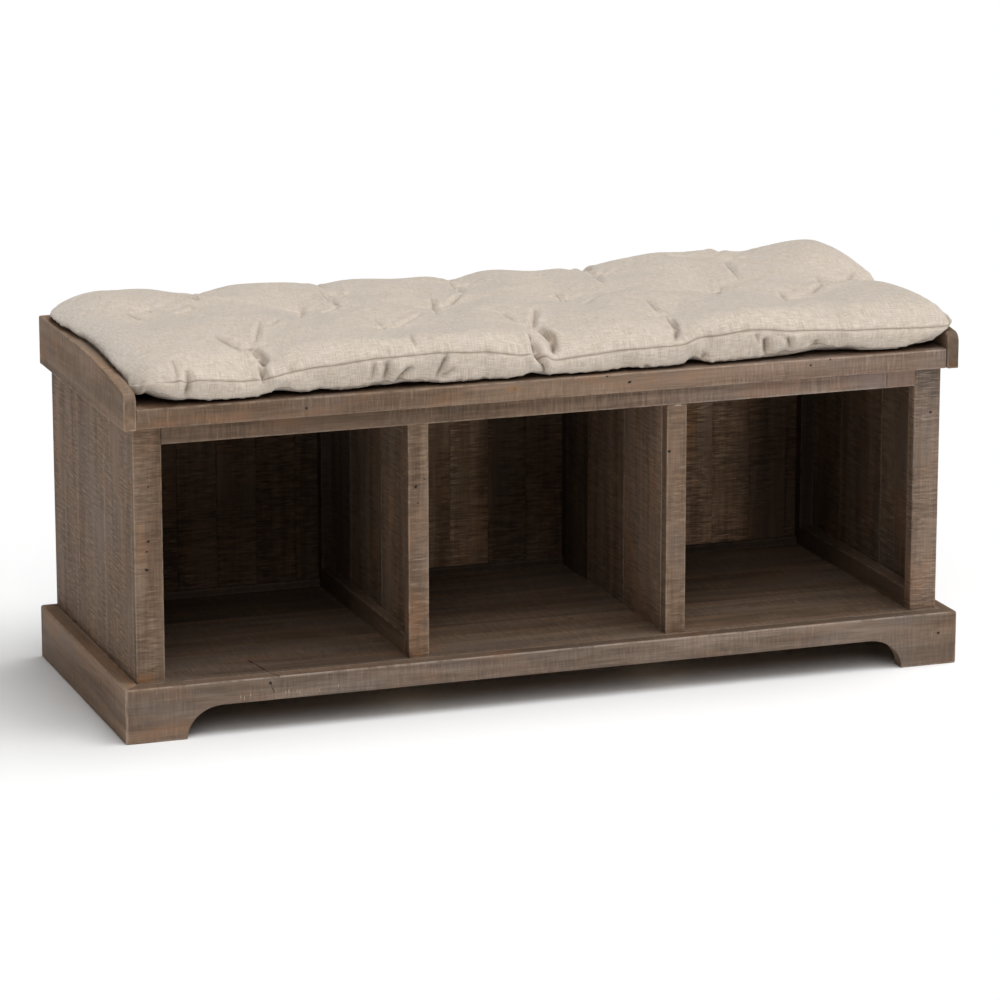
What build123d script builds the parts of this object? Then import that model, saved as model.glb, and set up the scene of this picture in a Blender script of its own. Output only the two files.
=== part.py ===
from build123d import *
import os

# Entryway bench: a plinth on bracket feet carries a case of three open cubbies,
# a plank seat between two shaped arm rails, and a loose tufted cushion.
# Millimetres. X runs along the bench, -Y is its front, +Z is up.
# The origin is on the floor, under the middle of the plinth.

# ---- driving dimensions -------------------------------------------------

plinth_length = 1250.0
plinth_depth = 482.0
plinth_height = 78.0
plinth_board = 22.0          # thickness of the four plinth rails
plinth_edge = 4.0            # rounding of the outer top edges and corners
plinth_foot_edge = 2.0       # rounding of the outer bottom edges
foot_width = 87.0            # bracket foot, measured along the floor
bracket_run = 52.0           # half axes of the bracket's quarter ellipse
bracket_rise = 45.0

floor_thickness = 22.0
floor_board_count = 3
board_edge = 0.8             # slight easing where flush boards meet
batten_height = 11.0          # battens under the dividers, hidden above the bracket cut
batten_width = 40.0
cleat_size = 20.0            # square cleats along the plinth's ends
block_leg = 50.0             # legs of the triangular corner blocks
block_clear = 6.0            # gap between a block and the floor

case_side_inset = 23.0       # case set in from the plinth's ends
case_front_inset = 25.0
case_back_inset = 8.0
case_height = 362.0          # from the plinth's top to the underside of the seat

stile_width = 41.0           # seen from the front
stile_depth = 20.0
stile_lap = 10.0             # lip of the front stile in front of the planks
plank_thickness = 20.0       # outer planks of the end panels
plank_width = 148.0
plank_edge = 1.5
frame_rail_height = 30.0     # rails of the end and divider frames

divider_offset = 193.0       # divider centres, left and right of the middle
divider_width = 30.0
divider_plank = 15.0

top_rail_height = 27.0       # rails under the front and back of the seat
back_thickness = 12.0
back_recess = 9.0            # back boards set in from the end planks' rear
back_board_width = 60.5
strip_height = 11.0          # small strip along the foot of the back boards
strip_depth = 8.0

seat_thickness = 28.0
seat_overhang = 20.0         # seat in front of the case
seat_board_count = 3
seat_edge = 3.0

arm_thickness = 18.0
arm_nose = 22.0              # arm rail in front of the case
arm_back_height = 71.0
arm_front_height = 50.5
arm_flat_from = 40.0         # the arm rail's top is level behind this y
arm_nose_radius = 14.0
arm_heel_radius = 4.0
arm_edge = 2.0

tenon_length = 10.0
tenon_height = 18.0
end_tenon = 8.0
divider_tenon = 6.0
screw_radius = 2.2
screw_head_radius = 4.5
screw_head_depth = 4.0
screw_bite = 18.0            # screw length past the piece that its head sits in
dowel_radius = 4.0
dowel_in_seat = 18.0
dowel_in_arm = 12.0

cushion_length = 1192.0
cushion_depth = 462.0
cushion_height = 82.0
cushion_gap = 0.3            # clearance between the loose cushion and the seat
cushion_edge = 26.0

# ---- planes worked out from them ----------------------------------------

plinth_end = plinth_length / 2
plinth_front = -plinth_depth / 2
plinth_back = plinth_depth / 2
inner_end = plinth_end - plinth_board
inner_front = plinth_front + plinth_board
inner_back = plinth_back - plinth_board
floor_under = plinth_height - floor_thickness
batten_under = floor_under - batten_height

case_end = plinth_end - case_side_inset
case_front = plinth_front + case_front_inset
case_back = plinth_back - case_back_inset
case_top = plinth_height + case_height
frame_end = case_end - stile_width          # inner face of the end frames
plank_face = case_end - plank_thickness     # inner face of the end planks
stile_back = case_front + stile_depth
back_rear = case_back - back_recess
back_face = back_rear - back_thickness
back_post_front = back_face - stile_depth
top_rail_under = case_top - top_rail_height
post_middle = case_front + stile_depth / 2
back_post_middle = back_face - stile_depth / 2

seat_end = case_end - 1.0
seat_front = case_front - seat_overhang
seat_back = case_back
seat_top = case_top + seat_thickness

os.makedirs("parts", exist_ok=True)


# ---- helpers ------------------------------------------------------------

def block(x0, x1, y0, y1, z0, z1):
    """A rectangular board between two corners."""
    size = Box(abs(x1 - x0), abs(y1 - y0), abs(z1 - z0))
    return Pos((x0 + x1) / 2, (y0 + y1) / 2, (z0 + z1) / 2) * size


def mirrored(solid):
    """The piece for the bench's other end."""
    return mirror(solid, about=Plane.YZ)


def save(name, solid):
    solid.label = name
    export_step(solid, f"parts/{name}.step")


def save_pair(stem_left, stem_right, solid):
    """Saves a piece of the left half and its mirror image on the right."""
    save(stem_left, solid)
    save(stem_right, mirrored(solid))


def without(solid, cutters):
    for cutter in cutters:
        solid = solid - cutter
    return solid


# ---- fasteners, which also cut their own holes --------------------------

def screw(x, y, z_head, z_tip):
    """A countersunk screw driven upwards from z_head to z_tip."""
    length = z_tip - z_head
    shank = Pos(x, y, z_head + length / 2) * Cylinder(screw_radius, length)
    head = Cone(screw_head_radius, screw_radius, screw_head_depth)
    return shank + Pos(x, y, z_head + screw_head_depth / 2) * head


def arm_dowel(side, y):
    """A dowel pin across the joint between the seat's end and an arm rail."""
    length = dowel_in_seat + dowel_in_arm
    middle = seat_end + (dowel_in_arm - dowel_in_seat) / 2
    pin = Rot(0, 90, 0) * Cylinder(dowel_radius, length)
    return Pos(side * middle, y, case_top + seat_thickness / 2) * pin


seat_screw_tip = case_top + screw_bite
seat_screws = [
    screw(x, y, top_rail_under, seat_screw_tip)
    for x in (-460, -100, 100, 460)
    for y in (post_middle, back_post_middle)
]

frame_x = (frame_end + plank_face) / 2
divider_frame_x = divider_offset + divider_width / 4
end_screw_rows = (post_middle, 0, back_post_middle)
case_screw_tip = plinth_height + screw_bite
case_screws = [
    screw(side * frame_x, y, floor_under, case_screw_tip)
    for side in (-1, 1)
    for y in end_screw_rows
] + [
    screw(side * divider_frame_x, y, batten_under, case_screw_tip)
    for side in (-1, 1)
    for y in end_screw_rows
]

arm_dowels = [arm_dowel(side, y) for side in (-1, 1) for y in (-160, 0, 160)]


# ---- plinth -------------------------------------------------------------

def plinth_blank():
    """The plinth's outer form, rounded, before it is divided into rails."""
    blank = block(-plinth_end, plinth_end, plinth_front, plinth_back, 0, plinth_height)
    top_edges = blank.edges().group_by(Axis.Z)[-1]
    corners = blank.edges().filter_by(Axis.Z)
    blank = fillet(top_edges + corners, plinth_edge)
    return fillet(blank.edges().group_by(Axis.Z)[0], plinth_foot_edge)


def bracket_cut():
    """The opening between the two feet of the front rail."""
    half = plinth_end - foot_width - bracket_run
    section = Rectangle(2 * half, 2 * bracket_rise)
    for side in (-1, 1):
        section += Pos(side * half, 0) * Ellipse(bracket_run, bracket_rise)
    cutter = extrude(Plane.XZ * section, amount=plinth_board + 4)
    return Pos(0, inner_front + 2, 0) * cutter


def plinth_long_rail(blank, y_outer, y_inner):
    """A front or back rail, mitred at both ends."""
    outline = Polyline(
        (-plinth_end - 1, y_outer + (y_outer - y_inner) / plinth_board),
        (plinth_end + 1, y_outer + (y_outer - y_inner) / plinth_board),
        (inner_end, y_inner),
        (-inner_end, y_inner),
        close=True,
    )
    prism = extrude(make_face(outline), plinth_height)
    return blank & prism


def plinth_side_rail(blank):
    """The left rail, mitred at both ends."""
    outline = Polyline(
        (-plinth_end - 1, plinth_front - 1),
        (-plinth_end - 1, plinth_back + 1),
        (-inner_end, inner_back),
        (-inner_end, inner_front),
        close=True,
    )
    prism = extrude(make_face(outline), plinth_height)
    return blank & prism


def corner_block(y_corner, toward):
    """A triangular glue block in a left corner of the plinth."""
    outline = Polyline(
        (-inner_end, y_corner),
        (-inner_end + block_leg, y_corner),
        (-inner_end, y_corner + toward * block_leg),
        close=True,
    )
    prism = extrude(make_face(outline), floor_under - block_clear)
    return Pos(0, 0, block_clear) * prism


def build_plinth():
    blank = plinth_blank()
    front = plinth_long_rail(blank, plinth_front, inner_front) - bracket_cut()
    save("plinth_front_rail", front)
    save("plinth_back_rail", plinth_long_rail(blank, plinth_back, inner_back))
    save_pair("plinth_left_rail", "plinth_right_rail", plinth_side_rail(blank))
    for row, y_corner, toward in (("front", inner_front, 1), ("rear", inner_back, -1)):
        piece = corner_block(y_corner, toward)
        save_pair(f"corner_block_{row}_left", f"corner_block_{row}_right", piece)


# ---- floor of the cubbies -----------------------------------------------

def build_floor():
    width = (inner_back - inner_front) / floor_board_count
    for index, row in enumerate(("front", "middle", "rear")):
        y0 = inner_front + index * width
        board = block(-inner_end, inner_end, y0, y0 + width, floor_under, plinth_height)
        board = fillet(board.edges().filter_by(Axis.X).group_by(Axis.Z)[-1], board_edge)
        save(f"floor_board_{row}", without(board, case_screws))

    cleat_y = inner_back - block_leg
    cleat = block(
        -inner_end, -inner_end + cleat_size, -cleat_y, cleat_y,
        floor_under - cleat_size, floor_under,
    )
    save_pair("floor_cleat_left", "floor_cleat_right", cleat)

    batten = block(
        -divider_offset - batten_width / 2, -divider_offset + batten_width / 2,
        inner_front, inner_back, batten_under, floor_under,
    )
    save_pair("floor_batten_left", "floor_batten_right", without(batten, case_screws))


# ---- frames and planks of the uprights ----------------------------------

def frame_rail(x0, x1, z0, z1, tenon_thickness):
    """A rail between a front and a back stile, with a stub tenon at each end."""
    middle_x = (x0 + x1) / 2
    middle_z = (z0 + z1) / 2
    rail = block(x0, x1, stile_back, back_post_front, z0, z1)
    tenon = block(
        middle_x - tenon_thickness / 2, middle_x + tenon_thickness / 2,
        stile_back - tenon_length, back_post_front + tenon_length,
        middle_z - tenon_height / 2, middle_z + tenon_height / 2,
    )
    return rail + tenon


def plank_edges(y_start, y_end):
    """Where the planks of an upright meet: full widths, then the remainder."""
    return [y_start, y_start + plank_width, y_start + 2 * plank_width, y_end]


def top_rail(y0, y1):
    """A rail under the seat from end to end, tenoned into the stiles."""
    middle = (y0 + y1) / 2
    rail = block(-frame_end, frame_end, y0, y1, top_rail_under, case_top)
    rail = fillet(rail.edges().filter_by(Axis.X).group_by(Axis.Z)[0], 1.0)
    tenon = block(
        -frame_end - tenon_length, frame_end + tenon_length,
        middle - 4, middle + 4, top_rail_under + 5, case_top - 5,
    )
    return rail + tenon


def divider_post(y0, y1):
    """A divider's front or back post, tenoned up into the rail above it."""
    x0 = -divider_offset - divider_width / 2
    x1 = x0 + divider_width
    middle = (y0 + y1) / 2
    post = block(x0, x1, y0, y1, plinth_height, top_rail_under)
    post = fillet(post.edges().filter_by(Axis.Z), plank_edge)
    tenon = block(
        x0 + 6, x1 - 6, middle - 4, middle + 4,
        top_rail_under, top_rail_under + tenon_length,
    )
    return post + tenon


def frame_rails(x0, x1, tenon_thickness):
    """The low and the high rail of a frame; the high one is only glued in."""
    low_top = plinth_height + frame_rail_height
    low = frame_rail(x0, x1, plinth_height, low_top, tenon_thickness)
    high_under = case_top - frame_rail_height
    high = block(x0, x1, stile_back, back_post_front, high_under, case_top)
    return low, high


def save_upright(left_stem, right_stem, pieces):
    for name, piece in pieces.items():
        save_pair(f"{left_stem}_{name}", f"{right_stem}_{name}", piece)


def build_end_panels(front_rail, back_rail):
    """Planks outside, a frame of stiles and rails towards the cubby."""
    low, high = frame_rails(-plank_face, -frame_end, end_tenon)
    front = block(-case_end, -frame_end, case_front, stile_back, plinth_height, case_top)
    front = fillet(front.edges().filter_by(Axis.Z).group_by(Axis.Y)[0], seat_edge)
    front = front - block(
        -case_end - 1, -plank_face, case_front + stile_lap, stile_back + 1,
        plinth_height - 1, case_top + 1,
    )
    back = block(-plank_face, -frame_end, back_post_front, back_face, plinth_height, case_top)
    cutters = [low, front_rail, back_rail] + case_screws
    pieces = {
        "front_stile": without(front, cutters),
        "back_stile": without(back, cutters),
        "bottom_rail": without(low, case_screws),
        "top_rail": high,
    }
    edges = plank_edges(case_front + stile_lap, case_back)
    for index, row in enumerate(("front", "middle", "rear")):
        plank = block(
            -case_end, -plank_face, edges[index], edges[index + 1], plinth_height, case_top
        )
        pieces[f"plank_{row}"] = fillet(plank.edges().filter_by(Axis.Z), plank_edge)
    save_upright("left_end", "right_end", pieces)


def build_dividers():
    """A frame towards the outer cubby, planks towards the middle one."""
    x0 = -divider_offset - divider_width / 2
    x1 = x0 + divider_width
    low, high = frame_rails(x0, x1 - divider_plank, divider_tenon)
    front = divider_post(case_front, stile_back)
    back = divider_post(back_post_front, back_face)
    pieces = {
        "front_post": without(front, [low] + case_screws),
        "back_post": without(back, [low] + case_screws),
        "bottom_rail": without(low, case_screws),
        "top_rail": high,
    }
    edges = plank_edges(stile_back, back_post_front)
    for index, row in enumerate(("front", "middle", "rear")):
        plank = block(
            x1 - divider_plank, x1, edges[index], edges[index + 1], plinth_height, case_top
        )
        pieces[f"plank_{row}"] = fillet(plank.edges().filter_by(Axis.Z), plank_edge)
    save_upright("left_divider", "right_divider", pieces)


def build_top_rails(front_rail, back_rail):
    posts = [divider_post(case_front, stile_back), divider_post(back_post_front, back_face)]
    posts += [mirrored(post) for post in posts]
    cutters = posts + seat_screws
    save("top_front_rail", without(front_rail, cutters))
    save("top_back_rail", without(back_rail, cutters))


# ---- back ---------------------------------------------------------------

def back_board(x0, x1):
    board = block(x0, x1, back_face, back_rear, plinth_height, case_top)
    face_edges = board.edges().filter_by(Axis.Z).group_by(Axis.Y)[0]
    return chamfer(face_edges, plank_edge)


def build_back():
    """Narrow upright boards laid from the middle, trimmed at both ends."""
    count = int(plank_face // back_board_width)
    seams = [index * back_board_width for index in range(-count, count + 1)]
    seams = [-plank_face] + seams + [plank_face]
    groups = {"left": [], "centre": [], "right": []}
    for x0, x1 in zip(seams, seams[1:]):
        middle = (x0 + x1) / 2
        place = "centre"
        if abs(middle) > divider_offset:
            place = "left" if middle < 0 else "right"
        groups[place].append(back_board(x0, x1))
    for place, boards in groups.items():
        save(f"back_boards_{place}", Compound(children=boards))

    outer = frame_end
    inner = divider_offset + divider_width / 2
    spans = ((-outer, -inner), (-inner + divider_width, inner - divider_width), (inner, outer))
    strips = []
    for x0, x1 in spans:
        strip = block(
            x0, x1, back_post_front + stile_depth - strip_depth, back_face,
            plinth_height, plinth_height + strip_height,
        )
        top_front = strip.edges().filter_by(Axis.X).group_by(Axis.Z)[-1].sort_by(Axis.Y)[0]
        strips.append(fillet(top_front, 3))
    save("back_strips", Compound(children=strips))


# ---- seat, arm rails, cushion -------------------------------------------

def build_seat():
    width = (seat_back - seat_front) / seat_board_count
    for index, row in enumerate(("front", "middle", "rear")):
        y0 = seat_front + index * width
        board = block(-seat_end, seat_end, y0, y0 + width, case_top, seat_top)
        if row == "front":
            face = board.faces().sort_by(Axis.Y)[0]
            board = fillet(face.edges(), seat_edge)
        save(f"seat_board_{row}", without(board, seat_screws + arm_dowels))


def arm_profile():
    """The arm rail's side view: level at the rear, sloping down to a round nose."""
    nose_y = case_front - arm_nose
    nose_top = case_top + arm_front_height
    top = case_top + arm_back_height
    slope = TangentArc((arm_flat_from, top), (nose_y, nose_top), tangent=(-1, 0))
    outline = Polyline(
        (nose_y, nose_top),
        (nose_y, case_top),
        (case_back, case_top),
        (case_back, top),
        (arm_flat_from, top),
    )
    face = make_face(slope + outline)
    corners = face.vertices()
    nose = corners.sort_by_distance((nose_y, nose_top, 0))[0]
    heel = corners.sort_by_distance((case_back, top, 0))[0]
    face = fillet(nose, arm_nose_radius)
    heel = face.vertices().sort_by_distance((case_back, top, 0))[0]
    return fillet(heel, arm_heel_radius)


def build_arm_rails():
    arm = extrude(Plane.YZ * arm_profile(), arm_thickness)
    arm = Pos(-seat_end - arm_thickness, 0, 0) * arm
    sides = arm.faces().filter_by(Axis.X)
    arm = fillet(sides[0].edges() + sides[-1].edges(), arm_edge)
    save_pair("left_arm_rail", "right_arm_rail", without(arm, arm_dowels))


def build_cushion():
    """A plain envelope of the loose cushion, resting on the seat."""
    z0 = seat_top + cushion_gap
    middle_y = (seat_front + seat_back) / 2
    pad = block(
        -cushion_length / 2, cushion_length / 2,
        middle_y - cushion_depth / 2, middle_y + cushion_depth / 2,
        z0, z0 + cushion_height,
    )
    upper_edges = pad.edges().group_by(Axis.Z)[-1] + pad.edges().filter_by(Axis.Z)
    save("cushion", fillet(upper_edges, cushion_edge))


def build_fasteners():
    save("seat_screws", Compound(children=seat_screws))
    save("case_screws", Compound(children=case_screws))
    save("arm_rail_dowels", Compound(children=arm_dowels))


front_top_rail = top_rail(case_front, stile_back)
back_top_rail = top_rail(back_post_front, back_face)

build_plinth()
build_floor()
build_end_panels(front_top_rail, back_top_rail)
build_dividers()
build_top_rails(front_top_rail, back_top_rail)
build_back()
build_seat()
build_arm_rails()
build_cushion()
build_fasteners()
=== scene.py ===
import math

import bpy
import numpy as np
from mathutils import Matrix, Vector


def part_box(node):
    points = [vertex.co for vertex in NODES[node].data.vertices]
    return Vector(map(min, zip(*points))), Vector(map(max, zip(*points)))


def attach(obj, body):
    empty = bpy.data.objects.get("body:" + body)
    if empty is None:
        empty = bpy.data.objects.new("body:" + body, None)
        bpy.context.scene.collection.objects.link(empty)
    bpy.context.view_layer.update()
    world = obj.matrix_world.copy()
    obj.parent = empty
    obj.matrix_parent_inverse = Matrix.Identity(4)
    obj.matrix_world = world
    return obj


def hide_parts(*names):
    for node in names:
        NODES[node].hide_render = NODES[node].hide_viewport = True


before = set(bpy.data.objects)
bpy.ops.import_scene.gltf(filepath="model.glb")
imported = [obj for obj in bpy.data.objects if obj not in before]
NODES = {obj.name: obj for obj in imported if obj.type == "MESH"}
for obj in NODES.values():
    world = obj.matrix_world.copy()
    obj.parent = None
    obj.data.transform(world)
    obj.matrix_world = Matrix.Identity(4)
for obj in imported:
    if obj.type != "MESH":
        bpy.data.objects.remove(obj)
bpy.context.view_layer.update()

# Faces that marks, stains and painted light and shade lie on: Y of the upright ones, Z of the plinth's
# top
CASE_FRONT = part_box("top_front_rail")[0].y
SEAT_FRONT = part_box("seat_board_front")[0].y
PLINTH_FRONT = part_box("plinth_front_rail")[0].y
PLINTH_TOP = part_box("plinth_front_rail")[1].z
BACK_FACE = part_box("back_boards_centre")[0].y


# ---- shader building

class Shading:
    """Adds shader nodes to a tree, so that a material reads as a list of steps."""

    def __init__(self, tree):
        self.tree = tree

    def node(self, kind, inputs=None, **settings):
        made = self.tree.nodes.new("ShaderNode" + kind)
        for name, value in settings.items():
            setattr(made, name, value)
        for socket, value in (inputs or {}).items():
            self.feed(made.inputs[socket], value)
        return made

    def feed(self, socket, value):
        if isinstance(value, bpy.types.NodeSocket):
            self.tree.links.new(value, socket)
        else:
            socket.default_value = value

    def math(self, operation, a, b=0.0, clamp=False):
        return self.node("Math", {0: a, 1: b}, operation=operation, use_clamp=clamp).outputs[0]

    def add(self, a, b):
        return self.math("ADD", a, b)

    def times(self, a, b):
        return self.math("MULTIPLY", a, b)

    def vector(self, operation, a, b=(0.0, 0.0, 0.0)):
        return self.node("VectorMath", {0: a, 1: b}, operation=operation).outputs[0]

    def distance(self, a, b):
        return self.node("VectorMath", {0: a, 1: b}, operation="DISTANCE").outputs["Value"]

    def split(self, vector):
        return self.node("SeparateXYZ", {0: vector}).outputs

    def join(self, x, y, z):
        return self.node("CombineXYZ", {0: x, 1: y, 2: z}).outputs[0]

    def step(self, value, low, high):
        """0 below low, 1 above high and smooth between; low may be the larger of the two."""
        made = self.node("MapRange", {"Value": value, "From Min": low, "From Max": high},
                         interpolation_type="SMOOTHSTEP")
        return made.outputs[0]

    def noise(self, vector, stretch, detail=2.0, roughness=0.5, distortion=0.0):
        """Noise with so many cells to the metre along each axis of the vector."""
        scaled = self.vector("MULTIPLY", vector, stretch)
        made = self.node("TexNoise", {"Vector": scaled, "Scale": 1.0, "Detail": detail,
                                      "Roughness": roughness, "Distortion": distortion})
        return made.outputs[0]

    def mix(self, factor, a, b, blend="MIX"):
        made = self.node("Mix", data_type="RGBA", blend_type=blend)
        for index, value in ((0, factor), (6, a), (7, b)):
            self.feed(made.inputs[index], value)
        return made.outputs[2]

    def relief(self, strength, distance, height):
        """The normal of a surface that the height raises; distance is its scale in metres."""
        made = self.node("Bump", {"Strength": strength, "Distance": distance, "Height": height})
        return made.outputs[0]


def colour(red, green, blue):
    return (red, green, blue, 1.0)


def add_object(name, data):
    """Puts a new object of the data into the scene."""
    made = bpy.data.objects.new(name, data)
    bpy.context.scene.collection.objects.link(made)
    return made


def evaluated(piece):
    return piece.evaluated_get(bpy.context.evaluated_depsgraph_get())


def new_material(name):
    """A material, the steps of its tree, and its shader's inputs."""
    material = bpy.data.materials.new(name)
    material.use_nodes = True
    return material, Shading(material.node_tree), material.node_tree.nodes["Principled BSDF"].inputs


def new_group(name, takes, gives):
    """A node group with these sockets: its tree, steps, given values and outputs."""
    tree = bpy.data.node_groups.new(name, "ShaderNodeTree")
    for way, sockets in (("INPUT", takes), ("OUTPUT", gives)):
        for socket, kind in sockets.items():
            tree.interface.new_socket(socket, in_out=way, socket_type="NodeSocket" + kind)
    given = tree.nodes.new("NodeGroupInput").outputs
    out = tree.nodes.new("NodeGroupOutput").inputs
    return tree, Shading(tree), given, out


# ---- weathered pine

PINE_DARK = colour(0.100, 0.064, 0.041)
PINE_LIGHT = colour(0.215, 0.147, 0.100)
PINE_WARM = colour(0.245, 0.128, 0.066)
PINE_COOL = colour(0.150, 0.122, 0.100)
PINE_WORN_AND_HIGHLIGHT = colour(0.400, 0.305, 0.230)
PINE_HOLE = colour(0.016, 0.012, 0.010)
KNOT_WOOD = colour(0.045, 0.028, 0.018)


def pine_group():
    """Stained, saw-marked pine. Grain runs along the Grain vector's X, in metres."""
    takes = dict(Grain="Vector", Tone="Float", Warmth="Float", Saw="Float", Edge="Float", Mark="Float")
    gives = dict(Color="Color", Roughness="Float", Height="Float")
    tree, s, given, out = new_group("weathered pine", takes, gives)
    grain = given["Grain"]
    warm_place = s.vector("ADD", grain, (7.3, 1.1, 4.2))
    cool_place = s.vector("ADD", grain, (2.9, 5.7, 8.8))

    fibre = s.noise(grain, (22.0, 520.0, 520.0), detail=3.0, roughness=0.65)
    band = s.noise(grain, (2.4, 34.0, 34.0), detail=3.0, roughness=0.55, distortion=0.7)
    cut = s.noise(grain, (290.0, 30.0, 30.0), detail=3.0, roughness=0.65)
    fine_cut = s.noise(grain, (520.0, 48.0, 48.0), detail=1.0)
    rough_patch = s.step(s.noise(grain, (9.0, 20.0, 20.0)), 0.28, 0.56)
    warm_patch = s.step(s.noise(warm_place, (11.0, 30.0, 30.0)), 0.50, 0.74)
    cool_patch = s.step(s.noise(cool_place, (6.0, 17.0, 17.0)), 0.46, 0.72)

    saw = s.times(s.times(s.add(s.step(cut, 0.34, 0.66), -0.5), rough_patch), given["Saw"])
    scratch = s.times(s.times(s.step(fine_cut, 0.58, 0.72), rough_patch), given["Saw"])

    shade = s.add(s.times(band, 0.75), s.times(fibre, 0.45))
    base = s.mix(s.step(shade, 0.40, 0.82), PINE_DARK, PINE_LIGHT)
    warmth = s.math("ADD", s.times(warm_patch, 0.42), given["Warmth"], clamp=True)
    base = s.mix(warmth, base, PINE_WARM)
    base = s.mix(s.times(cool_patch, 0.40), base, PINE_COOL)
    lit = s.add(1.0, s.times(saw, 0.42))
    base = s.mix(1.0, base, s.join(lit, lit, lit), "MULTIPLY")
    base = s.mix(s.times(scratch, 0.26), base, PINE_WORN_AND_HIGHLIGHT)
    # rubbed edges: partly real wear, partly a painted highlight along the arrises
    worn_and_lit = s.times(given["Edge"], s.step(s.noise(grain, (60.0, 60.0, 60.0)), 0.30, 0.62))
    base = s.mix(s.times(worn_and_lit, 0.44), base, PINE_WORN_AND_HIGHLIGHT)
    tone = given["Tone"]
    base = s.mix(1.0, base, s.join(tone, tone, tone), "MULTIPLY")
    base = s.mix(given["Mark"], base, PINE_HOLE)

    s.feed(out["Color"], base)
    s.feed(out["Roughness"], s.add(0.56, s.add(s.times(fibre, 0.18), s.times(rough_patch, 0.10))))
    height = s.add(s.times(saw, 0.9), s.times(fibre, 0.35))
    s.feed(out["Height"], s.add(height, s.times(given["Mark"], -2.0)))
    return tree


def edge_group():
    """How near a point is to an edge of its board's box: 1 on the edge, 0 from Reach inwards."""
    takes = dict(Point="Vector", Low="Vector", High="Vector", Reach="Float")
    tree, s, given, out = new_group("board edge", takes, dict(Edge="Float"))
    from_low = s.split(s.vector("SUBTRACT", given["Point"], given["Low"]))
    from_high = s.split(s.vector("SUBTRACT", given["High"], given["Point"]))
    x, y, z = (s.math("MINIMUM", from_low[i], from_high[i]) for i in range(3))
    second = s.math("MAXIMUM", s.math("MINIMUM", x, y), s.math("MINIMUM", s.math("MAXIMUM", x, y), z))
    s.feed(out["Edge"], s.step(second, given["Reach"], 0.0))
    return tree


PINE = pine_group()
EDGE = edge_group()
# The rubbed edges are partly real wear and partly a painted highlight along the arrises.
EDGE_REACH = 0.0034  # width of the rubbed edges
KNOT_RINGS = 2200.0  # radians of a knot's rings to the metre


def segment_distance(s, point, start, end):
    """Distance from the point to the line between two places, and how far along it that is."""
    start, end = np.array(start), np.array(end)
    along = end - start
    offset = s.vector("SUBTRACT", point, tuple(start))
    dot = s.node("VectorMath", {0: offset, 1: tuple(along / (along @ along))}, operation="DOT_PRODUCT")
    share = s.math("ADD", dot.outputs["Value"], 0.0, clamp=True)
    nearest = s.node("VectorMath", {0: tuple(along), "Scale": share}, operation="SCALE").outputs[0]
    return s.distance(offset, nearest), share


def shaken(s, point, scale, detail, reach):
    """The point moved about by noise, so that what is drawn round it isn't quite straight."""
    shake = s.node("TexNoise", {"Vector": point, "Scale": scale, "Detail": detail}).outputs["Color"]
    shake = s.vector("SUBTRACT", shake, (0.5, 0.5, 0.5))
    return s.vector("ADD", point, s.vector("MULTIPLY", shake, reach))


def mark_mask(s, name, point):
    """1 in the board's wormholes and cracks, 0 elsewhere."""
    mask = 0.0
    holes, cracks = HOLES.get(name, ()), CRACKS.get(name, ())
    if holes or cracks:
        wander = shaken(s, point, 90.0, 2.0, (0.006, 0.006, 0.006))
    for x, z, radius in holes:
        place = (x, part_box(name)[0].y, z)
        offset = s.vector("MULTIPLY", s.vector("SUBTRACT", wander, place), (1.0, 1.0, 1.4))
        hole = s.step(s.distance(offset, (0.0, 0.0, 0.0)), 1.15 * radius, 0.5 * radius)
        mask = s.math("MAXIMUM", mask, hole)
    for start, end, width in cracks:
        crack = s.step(segment_distance(s, wander, start, end)[0], width, 0.3 * width)
        mask = s.math("MAXIMUM", mask, crack)
    return mask


def patch_mask(s, point, place, half, strength, core):
    """strength in a box round the place, fading from core (as a share of the box) to its sides."""
    offset = s.vector("ABSOLUTE", s.vector("DIVIDE", s.vector("SUBTRACT", point, place), half))
    x, y, z = s.split(offset)
    reach = s.math("MAXIMUM", s.math("MAXIMUM", x, y), z)
    return s.times(s.step(reach, 1.0, core), strength)


def local_stain_and_light(s, name, point, fibres, base):
    """The board's colour with its knots, its parts of another tone, most of them painted light and
    shade, and its chips, stains and a painted highlight.
    """
    for place, radius in KNOTS.get(name, ()):
        reach = s.distance(point, place)
        rings = s.math("SINE", s.times(reach, KNOT_RINGS))
        dark = s.times(s.step(reach, radius, 0.4 * radius), s.add(0.62, s.times(rings, 0.12)))
        base = s.mix(dark, base, KNOT_WOOD)
    # painted light and shade on parts of some boards
    for place, half, ratio, core in TINTS_AND_PAINTED_LIGHT.get(name, ()):
        base = s.mix(patch_mask(s, point, place, half, 1.0, core), base, ratio, "MULTIPLY")
    if name in PATCHES:
        rough = s.noise(fibres, (60.0, 260.0, 260.0), detail=2.0)
        for place, half, tint, strength, core in PATCHES[name]:
            patch = s.times(patch_mask(s, point, place, half, strength, core), s.add(0.5, rough))
            base = s.mix(s.math("MINIMUM", patch, 1.0), base, tint)
    return base


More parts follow.
